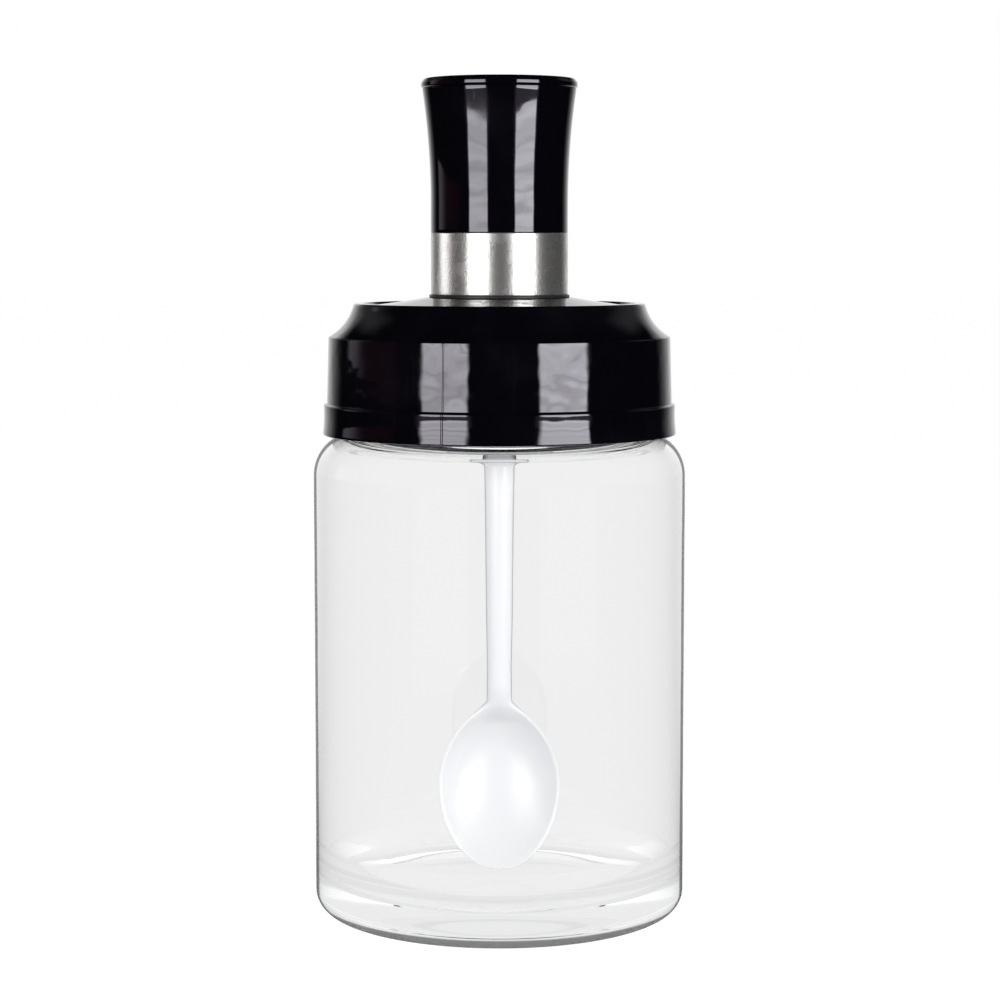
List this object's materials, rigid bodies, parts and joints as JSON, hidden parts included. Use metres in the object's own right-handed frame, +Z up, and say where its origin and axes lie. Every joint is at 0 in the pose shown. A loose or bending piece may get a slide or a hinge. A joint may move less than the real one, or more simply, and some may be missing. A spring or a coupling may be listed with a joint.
{
  "type": "seasoning jar",
  "caption": "Glass seasoning jar with a turn-to-lock cap, a flared grip with a steel band on top of the cap, and a spoon that hangs from the cap into the jar.",
  "frame": {"origin": "on the axis of the jar, in the plane of the foot ring that it stands on", "axes": "+Z up along the axis of the jar, -Y to the front, where the hollow of the spoon faces"},
  "size_m": [0.07, 0.07, 0.1573],
  "materials": {
    "clear_glass": "clear, smooth, faintly green in the thick floor",
    "gloss_black": "moulded, high gloss",
    "satin_black": "moulded, satin",
    "brushed_band": "brushed stainless sheet",
    "screw_steel": "bright plated",
    "silicone": "translucent white, soft",
    "milky_plastic": "milky white, smooth"
  },
  "bodies": {
    "jar": {"glass_jar": "clear_glass"},
    "gasket": {"rim_gasket": "silicone"},
    "lid": {"lid_cap": "gloss_black", "core_seal": "silicone", "spoon_core": "satin_black", "band_ring": "satin_black", "steel_band": "brushed_band", "grip_shell": "gloss_black", "grip_cap": "gloss_black", "grip_washer": "screw_steel", "grip_screw": "screw_steel", "spoon": "milky_plastic"}
  },
  "joints": [
    {"name": "lid_lift", "type": "slide", "parent": "jar", "child": "gasket", "axis": [0, 0, 1], "range_m": [0, 0.105]},
    {"name": "lid_turn", "type": "hinge", "parent": "gasket", "child": "lid", "pos_m": [0, 0, 0.1], "axis": [0, 0, 1], "range_deg": [0, 55]}
  ]
}
